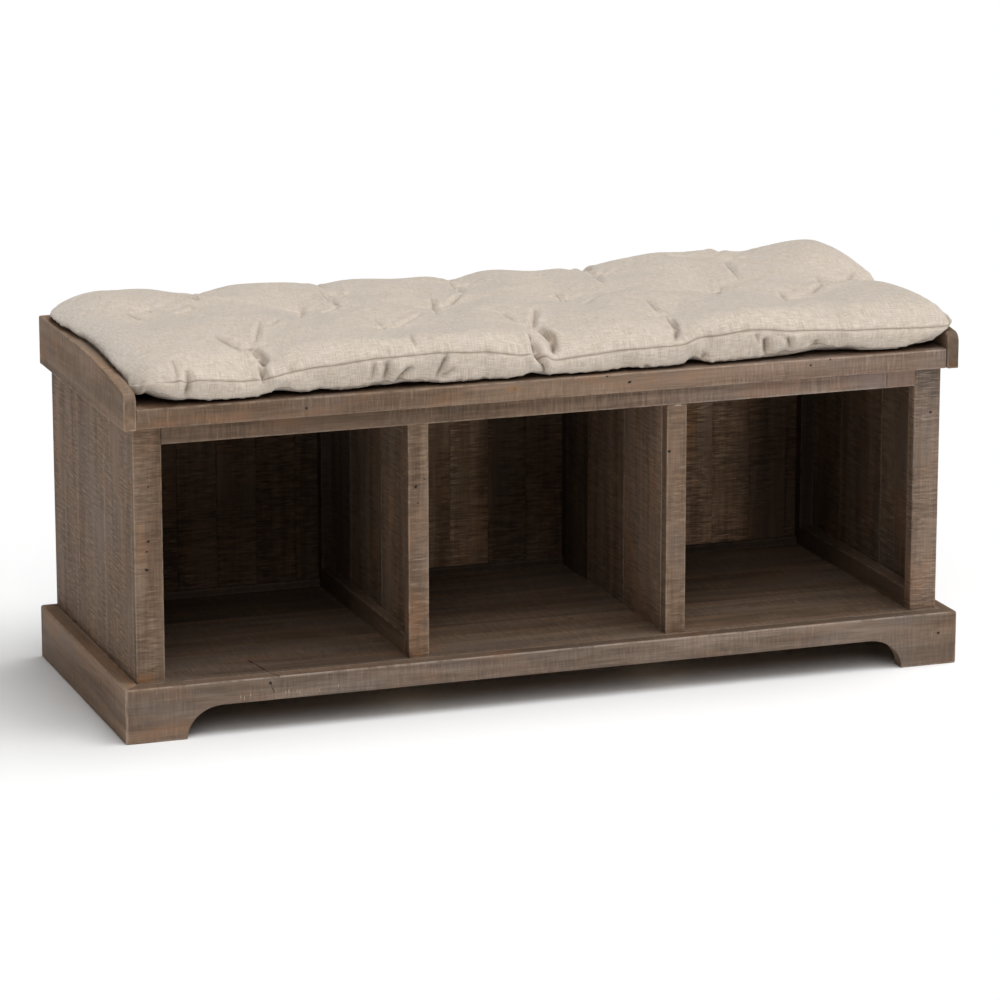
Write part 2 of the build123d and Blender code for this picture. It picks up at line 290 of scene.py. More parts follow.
def board_material(name, seed, grain, tone, warmth, saw, strip=None):
    """Weathered pine for one node. grain is the axis 0, 1 or 2 that its fibres follow; strip is
    the boards' width where the node is a row of narrow boards along X."""
    material, s, shader = new_material("pine " + name)
    point = s.node("TexCoord").outputs["Object"]
    axes = s.split(point)
    offset = np.array((1.7, 2.3, 3.1)) * seed
    fibres = s.vector("ADD", s.join(*[axes[(grain + i) % 3] for i in range(3)]), tuple(offset))
    # painted light: some boards' tone rises along X, towards where more light falls
    if name in PAINTED_LIGHT_DRIFTS:
        centre, drift = PAINTED_LIGHT_DRIFTS[name]
        tone = s.times(s.add(1.0, s.times(s.add(axes[0], -centre), drift)), tone)
    if strip:
        number = s.math("FLOOR", s.math("DIVIDE", axes[0], strip))
        random = s.node("TexWhiteNoise", {"W": number}, noise_dimensions="1D")
        fibres = s.vector("ADD", fibres, s.vector("MULTIPLY", random.outputs["Color"], (9.0, 9.0, 9.0)))
        tone = s.times(s.add(0.86, s.times(random.outputs["Value"], 0.28)), tone)
    low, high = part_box(name)
    box = {"Point": point, "Low": tuple(low), "High": tuple(high), "Reach": EDGE_REACH}
    # painted highlight mixed with real wear on the board's edges
    rubbed_and_lit = s.times(s.node("Group", box, node_tree=EDGE).outputs[0], WEAR_AND_HIGHLIGHT.get(name, 1.0))
    stain = {"Grain": fibres, "Tone": tone, "Warmth": warmth, "Saw": saw, "Edge": rubbed_and_lit,
             "Mark": mark_mask(s, name, point)}
    pine = s.node("Group", stain, node_tree=PINE).outputs
    s.feed(shader["Base Color"], local_stain_and_light(s, name, point, fibres, pine["Color"]))
    s.feed(shader["Roughness"], pine["Roughness"])
    shader["Specular IOR Level"].default_value = 0.25
    s.feed(shader["Normal"], s.relief(1.0, 0.0005, pine["Height"]))
    return material


# Wormholes in the boards' front faces: (x, z, radius)
HOLES = {
    "left_end_front_stile": ((-0.5813, 0.3557, 0.0016), (-0.5828, 0.2787, 0.0028),
                             (-0.5845, 0.2647, 0.0018), (-0.585, 0.2394, 0.0032)),
    "left_divider_front_post": ((-0.1971, 0.3245, 0.003), (-0.1838, 0.3349, 0.0018),
                                (-0.1943, 0.3014, 0.0018)),
    "right_divider_front_post": ((0.1807, 0.3448, 0.0032),),
    "right_end_front_stile": ((0.587, 0.3721, 0.003),),
    "plinth_front_rail": ((0.5953, 0.0486, 0.0026), (-0.417, 0.0692, 0.003)),
    "seat_board_front": ((-0.3602, 0.4534, 0.0026), (0.0784, 0.4656, 0.0018), (0.1129, 0.4554, 0.0028),
                         (0.3881, 0.4596, 0.0022), (0.4197, 0.4653, 0.0022)),
}
# Cracks and knots: (start, end, half width) and (place, radius)
CRACKS = {
    "plinth_front_rail": [
        ((-0.4135, -0.219, PLINTH_TOP), (-0.4055, PLINTH_FRONT, PLINTH_TOP), 0.0011),
        ((-0.416, PLINTH_FRONT, 0.068), (-0.4139, PLINTH_FRONT, 0.054), 0.0008)],
    "floor_board_front": [
        ((-0.4233, -0.147, PLINTH_TOP), (-0.4135, -0.219, PLINTH_TOP), 0.0013)],
}
KNOTS = {
    "floor_board_front": [((0.0795, -0.092, PLINTH_TOP), 0.006)],
    "back_boards_centre": [((0.0057, BACK_FACE, 0.237), 0.008)],
    "seat_board_front": [((-0.0578, SEAT_FRONT, 0.4577), 0.0036)],
}

# Parts of boards made darker or lighter: (centre, half size, ratio of the colours, core). Most are
# painted light and shade.
TINTS_AND_PAINTED_LIGHT = {
    # Painted light: the right-hand fronts are lighter and cooler, where more light falls on them
    "seat_board_front": [
        ((0.500, SEAT_FRONT, 0.454), (0.550, 0.050, 0.050), colour(1.17, 1.23, 1.36), 0.10)],
    "top_front_rail": [
        ((0.500, CASE_FRONT, 0.426), (0.550, 0.050, 0.050), colour(1.26, 1.37, 1.62), 0.10)],
    "right_end_front_stile": [
        ((0.580, CASE_FRONT, 0.260), (0.060, 0.010, 0.300), colour(1.12, 1.20, 1.32), 0.60)],
    "plinth_front_rail": [
        ((0.000, -0.229, PLINTH_TOP), (0.700, 0.0105, 0.002), colour(0.78, 0.78, 0.80), 0.80),
        ((0.280, -0.229, PLINTH_TOP), (0.480, 0.0105, 0.002), colour(0.78, 0.78, 0.77), 0.60),
        ((0.000, PLINTH_FRONT, 0.036), (0.700, 0.003, 0.060), colour(1.12, 1.23, 1.40), 0.60)],
    # Painted shade: the floor boards in the left-hand cubby are darker, most of all at the rear
    "floor_board_front": [
        ((-0.400, -0.150, PLINTH_TOP), (0.220, 0.200, 0.010), colour(0.72, 0.72, 0.74), 0.60)],
    "floor_board_middle": [
        ((-0.380, 0.000, PLINTH_TOP), (0.190, 0.400, 0.010), colour(0.80, 0.80, 0.80), 0.80)],
    "floor_board_rear": [
        ((-0.380, 0.100, PLINTH_TOP), (0.190, 0.400, 0.010), colour(0.55, 0.53, 0.50), 0.80)],
    # Painted shade: the bottom rails grow darker towards the rear of the cubbies
    "left_divider_bottom_rail": [
        ((-0.200, 0.200, 0.100), (0.100, 0.320, 0.200), colour(0.35, 0.32, 0.30), 0.10)],
    "right_end_bottom_rail": [
        ((0.560, 0.200, 0.100), (0.100, 0.320, 0.200), colour(0.50, 0.46, 0.43), 0.10)],
    # Painted shade on the back boards' front faces inside the cubbies, and painted light on patches of
    # the centre and right-hand panels where light falls through
    "back_boards_left": [
        ((-0.300, BACK_FACE, 0.260), (0.450, 0.004, 0.400), colour(0.46, 0.40, 0.34), 0.20)],
    "back_boards_centre": [
        ((-0.010, BACK_FACE, 0.260), (0.095, 0.004, 0.300), colour(2.55, 2.50, 2.35), 0.45),
        ((0.180, BACK_FACE, 0.260), (0.240, 0.004, 0.400), colour(0.46, 0.40, 0.34), 0.20)],
    "back_boards_right": [
        ((0.400, BACK_FACE, 0.260), (0.115, 0.004, 0.300), colour(2.80, 2.70, 2.55), 0.45),
        ((0.580, BACK_FACE, 0.260), (0.200, 0.004, 0.400), colour(0.55, 0.48, 0.42), 0.20)],
}

PALE_WOOD = colour(0.50, 0.40, 0.31)
ORANGE_WOOD = colour(0.33, 0.175, 0.080)
PINK_WOOD = colour(0.33, 0.215, 0.150)
DARK_WOOD = colour(0.05, 0.034, 0.024)

# Chips, stains, rubbed places and a painted highlight: (centre, half size, colour, strength, core)
PATCHES = {
    "seat_board_front": [
        ((-0.090, SEAT_FRONT, 0.4622), (0.060, 0.010, 0.004), PINK_WOOD, 0.75, 0.20),
        ((-0.060, SEAT_FRONT, 0.4580), (0.016, 0.010, 0.005), ORANGE_WOOD, 0.60, 0.20)],
    "top_front_rail": [
        ((0.5390, CASE_FRONT, 0.426), (0.0225, 0.050, 0.015), PINK_WOOD, 0.50, 0.97),
        ((0.5165, CASE_FRONT, 0.426), (0.0008, 0.050, 0.015), DARK_WOOD, 0.90, 0.30)],
    "right_divider_front_post": [
        ((0.1945, CASE_FRONT, 0.4118), (0.0058, 0.003, 0.0014), PALE_WOOD, 1.50, 0.40)],
    "left_end_front_stile": [
        ((-0.590, CASE_FRONT, 0.084), (0.022, 0.010, 0.014), ORANGE_WOOD, 0.60, 0.0),
        # painted highlight along the stile's rounded outer corner
        ((-0.602, CASE_FRONT, 0.260), (0.0014, 0.0014, 0.200), PALE_WOOD, 0.75, 0.40)],
    "left_divider_front_post": [
        ((-0.193, CASE_FRONT, 0.083), (0.014, 0.010, 0.008), ORANGE_WOOD, 0.40, 0.0)],
    "right_end_front_stile": [
        ((0.585, CASE_FRONT, 0.083), (0.018, 0.010, 0.008), ORANGE_WOOD, 0.30, 0.0)],
    "plinth_left_rail": [
        ((-0.606, -0.180, PLINTH_TOP), (0.010, 0.060, 0.010), ORANGE_WOOD, 0.45, 0.10)],
    "plinth_front_rail": [
        ((x, PLINTH_FRONT, z), (0.0006, 0.003, 0.0036), PALE_WOOD, 0.90, 0.30)
        for x, z in ((-0.461, 0.053), (-0.456, 0.051), (-0.447, 0.055), (-0.396, 0.053),
                     (-0.392, 0.055), (-0.380, 0.054), (-0.376, 0.052), (-0.348, 0.052),
                     (-0.320, 0.056))],
}

# Painted light: boards lighter towards their right-hand end, where more light falls: (where the tone is
# its own, change of tone per metre along X)
PAINTED_LIGHT_DRIFTS = {"seat_board_front": (0.0, 0.20), "top_front_rail": (-0.1, 0.30)}

# Boards whose edges are rubbed more, or less, than the rest; the rubbed edges are partly a painted
# highlight
WEAR_AND_HIGHLIGHT = {
    "plinth_front_rail": 1.5, "plinth_left_rail": 1.3,
    "left_end_front_stile": 1.4, "right_end_front_stile": 0.6,
    "floor_board_front": 0.2, "floor_board_middle": 0.2, "floor_board_rear": 0.2,
}

BACK_PITCH = 0.0605  # width of one narrow back board
WOOD_TONE = 1.10

# Families of boards: (part of the name, grain axis, tone, warmth, saw-mark strength). The first
# that fits is taken.
LOOKS = (
    ("plinth_front_rail", 0, 1.08, 0.02, 0.55),
    ("plinth_back_rail", 0, 1.00, 0.02, 0.8),
    # painted light: the left-hand plinth rail is made much lighter than the right-hand one
    ("plinth_left_rail", 1, 1.50, 0.08, 0.45),
    ("plinth_right_rail", 1, 0.98, 0.02, 0.45),
    ("floor_board", 0, 0.86, 0.04, 0.70),
    ("front_stile", 2, 1.00, 0.08, 1.3),
    ("front_post", 2, 1.102, 0.06, 1.1),
    ("back_stile", 2, 0.32, 0.02, 0.9),
    ("back_post", 2, 0.32, 0.02, 0.9),
    ("bottom_rail", 1, 0.95, 0.02, 0.5),
    ("top_rail", 1, 0.95, 0.02, 0.5),
    ("end_plank", 2, 1.00, 0.10, 1.2),
    ("divider_plank", 2, 0.95, 0.02, 1.0),
    ("back_boards", 2, 0.90, 0.02, 1.9),
    ("back_strips", 0, 0.40, 0.02, 0.5),
    ("top_front_rail", 0, 0.98, 0.03, 0.9),
    ("top_back_rail", 0, 0.95, 0.02, 0.8),
    ("seat_board", 0, 1.03, 0.06, 0.65),
    ("arm_rail", 1, 1.05, 0.05, 0.7),
)

# Pieces darker or lighter than their family's. Much of this is painted light and shade: painted light on
# the left-hand outer faces and on the right-hand end's front stile, and painted shade towards the rear
# of the cubbies
TONES_AND_PAINTED_LIGHT = {
    "floor_board_middle": 0.88, "floor_board_rear": 0.80, "left_divider_bottom_rail": 1.20,
    "right_end_front_stile": 1.16, "seat_board_front": 1.12, "top_front_rail": 1.10,
    "left_arm_rail": 1.24, "right_arm_rail": 0.82,
}
# painted shade: divider and right-hand end planks darker from front to rear; painted light: left-hand
# end planks lighter
for upright, tones in (("left_end", (1.24, 1.24, 1.24)), ("left_divider", (1.50, 1.05, 0.60)),
                       ("right_divider", (1.50, 1.15, 0.60)), ("right_end", (0.85, 0.72, 0.60))):
    for plank, tone in zip(("front", "middle", "rear"), tones):
        TONES_AND_PAINTED_LIGHT[upright + "_plank_" + plank] = tone


def look_of(name):
    if "screws" in name or "dowels" in name:
        return None
    for key, grain, tone, warmth, saw in LOOKS:
        if key in name:
            return grain, WOOD_TONE * tone * TONES_AND_PAINTED_LIGHT.get(name, 1.0), warmth, saw
    return None


def plain_wood(name, dark, light):
    """Unstained wood: pale, with soft growth bands along X."""
    material, s, shader = new_material(name)
    point = s.node("TexCoord").outputs["Object"]
    band = s.noise(point, (6.0, 150.0, 150.0), detail=3.0, distortion=0.5)
    fibre = s.noise(point, (30.0, 900.0, 900.0), detail=2.0)
    shade = s.add(s.times(band, 0.7), s.times(fibre, 0.3))
    s.feed(shader["Base Color"], s.mix(s.step(shade, 0.35, 0.65), dark, light))
    s.feed(shader["Roughness"], s.add(0.6, s.times(fibre, 0.2)))
    s.feed(shader["Normal"], s.relief(0.6, 0.0003, fibre))
    return material


def zinc_steel():
    """Zinc-plated steel, speckled with fine crystals."""
    material, s, shader = new_material("zinc steel")
    spangle = s.noise(s.node("TexCoord").outputs["Object"], (400.0, 400.0, 400.0), detail=2.0)
    base = s.mix(spangle, colour(0.42, 0.41, 0.38), colour(0.66, 0.65, 0.60))
    s.feed(shader["Base Color"], base)
    s.feed(shader["Roughness"], s.add(0.25, s.times(spangle, 0.25)))
    shader["Metallic"].default_value = 1.0
    return material


def dress_frame():
    """Gives every CAD piece its material: raw pine where no look fits."""
    raw = plain_wood("raw pine", colour(0.46, 0.34, 0.20), colour(0.70, 0.57, 0.40))
    beech = plain_wood("beech", colour(0.50, 0.34, 0.21), colour(0.66, 0.49, 0.33))
    steel = zinc_steel()
    seed = 0.0
    for name in sorted(NODES):
        look = look_of(name)
        if look:
            seed += 1.0
            strip = BACK_PITCH if name.startswith("back_boards") else None
            material = board_material(name, seed, *look, strip)
        elif "screws" in name:
            material = steel
        elif "dowels" in name:
            material = beech
        else:
            material = raw
        NODES[name].data.materials.clear()
        NODES[name].data.materials.append(material)


# ---- linen

WEAVE_PITCH = 0.0011  # one thread over and one under
# The dark tuft spots and fold lines below are painted shade
SPOT_REACH = 0.0065  # radius of the dark bottom of a tuft
LINE_REACH = 1.35  # half width of a fold's dark line, as a share of the fold's own


def painted_fold_shade(s, place):
    """Painted shade in the bottom of the cloth's folds and at its tufts. place is on the laid-out cloth.
    """
    place = shaken(s, place, 140.0, 1.0, (0.003, 0.003, 0.0))
    dark = 0.0
    for points, depth, width in FOLDS:
        strength = min(1.0, 0.28 + depth / 0.010)
        for start, end in zip(points, points[1:]):
            away, share = segment_distance(s, place, (*start, 0.0), (*end, 0.0))
            near = s.math("SUBTRACT", 1.0, s.times(away, 1 / (LINE_REACH * width)), clamp=True)
            from_middle = s.math("ABSOLUTE", s.add(s.times(share, 2.0), -1.0))
            middle = s.math("SUBTRACT", 1.0, s.math("POWER", from_middle, 3.0))
            line = s.times(s.math("POWER", near, 2.0), s.times(middle, strength))
            dark = s.math("MAXIMUM", dark, line)
    for x, y in TUFTS:
        away = s.distance(place, (x, y - MID_Y, 0.0))
        spot = s.math("SUBTRACT", 1.0, s.times(away, 1 / SPOT_REACH), clamp=True)
        dark = s.math("MAXIMUM", dark, s.times(spot, 0.75))
    return dark


def linen():
    """Oatmeal linen: slubby threads both ways on the UV map, which is in metres of cloth, with painted
    shade in its folds and tufts.
    """
    material, s, shader = new_material("oatmeal linen")
    cloth = s.node("UVMap", uv_map="cloth").outputs[0]
    crossed = s.vector("ADD", cloth, (3.0, 5.0, 0.0))
    warp = s.noise(cloth, (900.0, 60.0, 1.0), detail=3.0, roughness=0.6)
    weft = s.noise(crossed, (60.0, 900.0, 1.0), detail=3.0, roughness=0.6)
    slub_up = s.step(s.noise(cloth, (560.0, 42.0, 1.0), detail=1.0), 0.56, 0.72)
    slub_across = s.step(s.noise(crossed, (42.0, 560.0, 1.0), detail=1.0), 0.56, 0.72)
    fleck = s.step(s.noise(cloth, (700.0, 700.0, 1.0), detail=2.0), 0.58, 0.72)
    mottle = s.noise(cloth, (26.0, 26.0, 1.0), detail=3.0)
    seam, across, deep = (s.node("Attribute", attribute_name=name).outputs["Fac"]
                          for name in ("seam", "across", "deep"))
    folds = painted_fold_shade(s, s.join(across, deep, 0.0))
    threads = s.add(s.times(warp, 0.5), s.times(weft, 0.5))
    base = s.mix(s.step(threads, 0.36, 0.64), colour(0.52, 0.430, 0.337), colour(0.76, 0.668, 0.562))
    base = s.mix(s.times(slub_up, 0.30), base, colour(0.42, 0.34, 0.26))
    base = s.mix(s.times(slub_across, 0.35), base, colour(0.86, 0.80, 0.73))
    base = s.mix(s.times(fleck, 0.30), base, colour(0.40, 0.31, 0.23))
    base = s.mix(s.times(s.step(mottle, 0.35, 0.7), 0.20), base, colour(0.62, 0.54, 0.50))
    base = s.mix(s.times(s.math("POWER", seam, 3.0), 0.75), base, colour(0.16, 0.11, 0.07))
    # painted shade in the folds and at the tufts
    base = s.mix(s.times(folds, 0.90), base, colour(0.13, 0.085, 0.05))
    s.feed(shader["Base Color"], base)
    shader["Roughness"].default_value = 0.92
    shader["Sheen Weight"].default_value = 0.35
    shader["Sheen Roughness"].default_value = 0.6
    shader["Specular IOR Level"].default_value = 0.2
    axes = s.split(cloth)
    over, under = (s.math("SINE", s.times(axes[i], 2 * math.pi / WEAVE_PITCH)) for i in range(2))
    slubs = s.times(s.add(slub_up, slub_across), 0.5)
    height = s.add(s.times(s.times(over, under), 0.25), s.add(threads, slubs))
    s.feed(shader["Normal"], s.relief(0.7, 0.0004, height))
    return material


# ---- cushion

PAD_LOW, PAD_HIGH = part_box("cushion")
RAIL_LOW, RAIL_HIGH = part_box("right_arm_rail")
SEAT_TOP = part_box("seat_board_front")[1].z
MID_Y = (PAD_HIGH.y + PAD_LOW.y) / 2
HALF_X = (PAD_HIGH.x - PAD_LOW.x) / 2 + 0.001
HALF_Y = (PAD_HIGH.y - PAD_LOW.y) / 2 + 0.001

# The cut cloth, and its shape before it swells
CELL = 0.0072  # spacing of the cloth's grid
SEAM_ROW = 0.0028  # grid line next to a seam
BAND = 0.031  # height of the boxing band
BAND_BULGE = 0.006  # how far the band bows outwards
CORNER = 0.060  # radius of the corners in plan
ROUND_LEFT, ROUND_RIGHT = 0.95, 0.60  # the corners at each end, from 0, square, to 1, an arc
ENDS_DRAWN_IN = 0.002  # in the middle, with the corners as they are
SIDES_DRAWN_IN = 0.005
SEAM_Z = SEAT_TOP + BAND + 0.004
CROWN_Z = PAD_HIGH.z - 0.020
CROWN_REACH = 0.060  # from the seam to the crown
TUFT_DEPTH = 0.014  # below the crown
TUFT_REACH = 0.070
BASE_GAP = 0.0012  # between the base and the seat
BASE_TUFT_HEIGHT = 0.004  # how far a tuft lifts the base
BASE_TUFT_REACH = 0.050
BASE_U, BAND_V = 2.0, 4.0  # places of the base and the band on the UV map
FAR_AWAY = 10.0  # where the base lies on the laid-out cloth, past every fold

# The swelling
PRESSURE = 3.0
SWELL_FRAMES = 30
HELD_INSIDE = 0.035  # the base is held from this far inside its seam
PUFF_CAP = 0.032  # furthest that the cloth may move

# How it lies on the bench
LEVEL_Z = CROWN_Z + 0.002  # height that the filling's weight evens the top towards
EVENED = 0.5  # share of the way there
SEAM_UNDER_RAIL = 0.004  # the left-hand seam, below the arm rail's top
PRESSED = 0.55  # share of its height over the seat that the underside loses
HANG_RIGHT, HANG_LEFT = 0.020, 0.018  # how far the ends reach out over the arm rails
RIGHT_RISE = 0.006  # how far the middle of the right-hand end is raised
BACK_LIFT = 0.009
RAIL_GAP = 0.0018  # least clearance to the arm rails; half as much is kept over the seat
OVERHANG = 0.030  # furthest that the cloth may reach over an arm rail

# Folds, dimples and seams pressed into the mesh
FOLD_GAIN = 1.35
LIP_HEIGHT = 0.35  # of the cloth beside a fold, as a share of the fold's depth
DIMPLE, DIMPLE_REACH = 0.0050, 0.008
PLEAT, PLEAT_RADIUS, PLEAT_REACH = 0.0013, 0.018, 0.013
PUCKER, PUCKER_REACH = 0.0010, 0.013
SEAM_GROOVE = 0.0005

# Tufts, pulled through to the base: (x, y) in three staggered rows
TUFTS = (
    (-0.415, -0.155), (-0.185, -0.095), (0.004, -0.135), (0.203, -0.140), (0.430, -0.090),
    (-0.495, 0.090), (-0.285, 0.045), (-0.093, 0.005), (0.113, 0.015), (0.328, -0.005), (0.540, 0.020),
    (-0.400, 0.170), (-0.206, 0.120), (-0.005, 0.137), (0.213, 0.140), (0.423, 0.140),
)

# The front seam's line: (x, height above the floor)
FRONT_SEAM = (
    (-0.597, 0.505), (-0.536, 0.503), (-0.430, 0.496), (-0.331, 0.508), (-0.250, 0.514), (-0.162, 0.515),
    (-0.112, 0.512), (-0.021, 0.501), (0.002, 0.494), (0.051, 0.497), (0.120, 0.500), (0.192, 0.502),
    (0.220, 0.509), (0.305, 0.515), (0.375, 0.509), (0.474, 0.504), (0.592, 0.500),
)
# Where the base's front edge is lifted off the seat, and where the back edge is fuller or flatter
# than the swelling leaves it: (x, height, reach)
FOOT_LIFTS = (
    (-0.579, 0.012, 0.030), (-0.393, 0.010, 0.018), (-0.209, 0.006, 0.020), (-0.026, 0.009, 0.015),
    (0.214, 0.009, 0.015), (0.405, 0.010, 0.025),
)
BACK_BUMPS = (
    (-0.510, 0.010, 0.060), (-0.400, 0.005, 0.035), (-0.085, -0.008, 0.060), (0.010, -0.004, 0.030),
    (0.125, -0.009, 0.050), (0.320, 0.003, 0.040), (0.420, 0.010, 0.050), (0.540, 0.015, 0.060),
)

# Folds in the laid-out cloth: (points along the fold, depth, half width). Most run from where a
# tuft pulls at the cloth; beyond -HALF_Y they are in the front band.
FOLDS = (
    (((-0.528, 0.074), (-0.515, 0.035)), 0.002, 0.005),
    (((-0.47, 0.04), (-0.432, 0.071)), 0.0035, 0.004),
    (((-0.436, 0.14), (-0.416, 0.088)), 0.0035, 0.004),
    (((-0.405, -0.139), (-0.374, -0.055)), 0.004, 0.0035),
    (((-0.372, -0.08), (-0.345, -0.05)), 0.0035, 0.0035),
    (((-0.424, -0.155), (-0.412, -0.178), (-0.407, -0.212)), 0.008, 0.005),
    (((-0.416, -0.2), (-0.419, -0.24)), 0.0075, 0.005),
    (((-0.273, 0.072), (-0.31, -0.039)), 0.0035, 0.0035),
    (((-0.222, 0.15), (-0.23, 0.068), (-0.227, 0.035)), 0.0045, 0.004),
    (((-0.265, 0.005), (-0.227, 0.042)), 0.0035, 0.004),
    (((-0.322, 0.045), (-0.327, -0.06)), 0.0025, 0.004),
    (((-0.523, -0.215), (-0.53, -0.262)), 0.006, 0.006),
    (((-0.537, -0.195), (-0.541, -0.235)), 0.002, 0.004),
    (((-0.455, -0.105), (-0.43, -0.171)), 0.003, 0.01),
    (((-0.201, -0.045), (-0.205, -0.115)), 0.0035, 0.0035),
    (((-0.25, -0.094), (-0.21, -0.117)), 0.003, 0.004),
    (((-0.18, -0.09), (-0.13, -0.045)), 0.0035, 0.004),
    (((-0.079, 0.065), (-0.116, -0.072)), 0.0045, 0.0035),
    (((-0.072, 0.015), (-0.033, 0.055)), 0.004, 0.004),
    (((-0.016, 0.175), (-0.03, 0.055)), 0.0045, 0.004),
    (((-0.193, -0.18), (-0.201, -0.225)), 0.0025, 0.006),
    (((-0.019, -0.075), (-0.011, -0.115)), 0.0035, 0.0035),
    (((0.003, -0.142), (0.033, -0.07)), 0.005, 0.004),
    (((0.11, 0.06), (0.099, -0.018)), 0.0045, 0.004),
    (((0.112, -0.052), (0.16, -0.003)), 0.0025, 0.005),
    (((0.207, 0.185), (0.183, 0.048)), 0.0045, 0.004),
    (((0.0, -0.15), (0.013, -0.188), (0.004, -0.226)), 0.009, 0.005),
    (((-0.021, -0.188), (-0.025, -0.228), (-0.019, -0.24), (-0.013, -0.266)), 0.01, 0.0052),
    (((-0.26, -0.233), (-0.266, -0.256)), 0.003, 0.005),
    (((-0.242, -0.233), (-0.246, -0.264)), 0.0065, 0.0065),
    (((-0.205, -0.246), (-0.232, -0.264)), 0.0055, 0.005),
    (((-0.153, -0.231), (-0.172, -0.262)), 0.006, 0.005),
    (((-0.142, -0.248), (-0.166, -0.258)), 0.003, 0.004),
    (((0.202, -0.152), (0.199, -0.192), (0.186, -0.226)), 0.0055, 0.004),
    (((0.204, -0.065), (0.202, -0.13)), 0.003, 0.005),
    (((0.30, -0.065), (0.358, 0.015)), 0.0025, 0.006),
    (((0.403, 0.125), (0.387, 0.03)), 0.0035, 0.004),
    (((0.419, -0.05), (0.406, -0.118)), 0.0025, 0.005),
    (((0.457, -0.077), (0.493, -0.034)), 0.003, 0.005),
    (((0.509, 0.033), (0.496, -0.036)), 0.003, 0.004),
    (((0.505, -0.045), (0.57, 0.062)), 0.003, 0.005),
    (((0.307, -0.234), (0.309, -0.248)), 0.003, 0.004),
    (((0.321, -0.24), (0.323, -0.264)), 0.007, 0.006),
    (((0.354, -0.238), (0.359, -0.26)), 0.006, 0.005),
    (((0.233, -0.252), (0.226, -0.264)), 0.004, 0.005),
    (((0.141, -0.254), (0.143, -0.264)), 0.003, 0.004),
    (((0.398, -0.252), (0.40, -0.264)), 0.004, 0.006),
)


def grid_lines(half):
    """Places from -half to half, about a cell apart, with one line close to each end."""
    inner = half - SEAM_ROW
    count = round(2 * inner / CELL)
    return np.concatenate(([-half], np.linspace(-inner, inner, count + 1), [half]))


class PadGrid:
    """The cushion's cloth: a top and a bottom panel and the boxing band round their edges."""

    def __init__(self):
        self.xs = grid_lines(HALF_X)
        self.ys = grid_lines(HALF_Y)
        band = np.concatenate(([0.0], np.linspace(SEAM_ROW, BAND - SEAM_ROW, 6), [BAND]))
        self.band = band / BAND
        nx, ny = len(self.xs), len(self.ys)
        self.top = np.arange(nx * ny).reshape(nx, ny)
        self.bottom = self.top + nx * ny
        front = [(i, 0) for i in range(nx - 1)]
        right = [(nx - 1, j) for j in range(ny - 1)]
        back = [(i, ny - 1) for i in range(nx - 1, 0, -1)]
        left = [(0, j) for j in range(ny - 1, 0, -1)]
        self.rim = front + right + back + left
        self.corners = [0, nx - 1, nx + ny - 2, 2 * nx + ny - 3, len(self.rim)]
        rim_top = np.array([self.top[i, j] for i, j in self.rim])
        rim_bottom = np.array([self.bottom[i, j] for i, j in self.rim])
        middle = np.arange((len(self.band) - 2) * len(self.rim)) + 2 * nx * ny
        self.rows = np.vstack((rim_top, middle.reshape(-1, len(self.rim)), rim_bottom))
        self.count = 2 * nx * ny + middle.size
        self.flat_x, self.flat_y = np.meshgrid(self.xs, self.ys, indexing="ij")
        self.inside = np.minimum(HALF_X - np.abs(self.flat_x), HALF_Y - np.abs(self.flat_y))

    def faces(self):
        """Quads with outward normals, and each corner's place on the flat cloth."""
        quads, places = [], []
        for i in range(len(self.xs) - 1):
            for j in range(len(self.ys) - 1):
                ring = ((i, j), (i + 1, j), (i + 1, j + 1), (i, j + 1))
                quads.append([self.top[a, b] for a, b in ring])
                places.extend((self.xs[a], self.ys[b]) for a, b in ring)
                quads.append([self.bottom[a, b] for a, b in reversed(ring)])
                places.extend((self.xs[a] + BASE_U, self.ys[b]) for a, b in reversed(ring))
        flat = [(self.xs[i], self.ys[j]) for i, j in self.rim]
        steps = [math.dist(here, after) for here, after in zip(flat, flat[1:] + flat[:1])]
        along = np.cumsum([0.0] + steps)
        drop = BAND_V - self.band * BAND
        for level in range(len(self.band) - 1):
            for n in range(len(self.rim)):
                after = (n + 1) % len(self.rim)
                quads.append([self.rows[level, n], self.rows[level + 1, n],
                              self.rows[level + 1, after], self.rows[level, after]])
                places.extend(((along[n], drop[level]), (along[n], drop[level + 1]),
                               (along[n + 1], drop[level + 1]), (along[n + 1], drop[level])))
        return quads, np.array(places)

    def laid_out(self):
        """Each point's place on the top panel, with the band folded out flat beyond the panel's
        edges and the bottom panel far away."""
        place = np.full((self.count, 2), FAR_AWAY)
        place[self.top.ravel()] = np.stack((self.flat_x, self.flat_y), -1).reshape(-1, 2)
        rim = place[self.rows[0]]
        outward = np.where(np.abs(rim) >= (HALF_X, HALF_Y), np.sign(rim), 0.0)
        for share, row in zip(self.band, self.rows):
            place[row] = rim + outward * share * BAND
        return place

    def from_seam(self):
        """Each point's distance over the cloth to the nearest seam."""
        away = np.zeros(self.count)
        away[self.top.ravel()] = self.inside.ravel()
        away[self.bottom.ravel()] = self.inside.ravel()
        to_corner = np.abs(np.subtract.outer(np.arange(len(self.rim)), self.corners)).min(axis=1)
        for level, share in enumerate(self.band):
            away[self.rows[level]] = np.minimum(BAND * min(share, 1 - share), to_corner * CELL)
        return away


def smooth_step(value, low, high):
    share = np.clip((value - low) / (high - low), 0.0, 1.0)
    return share * share * (3 - 2 * share)


def bump(value, centre, reach):
    return np.exp(-((value - centre) / reach) ** 2)


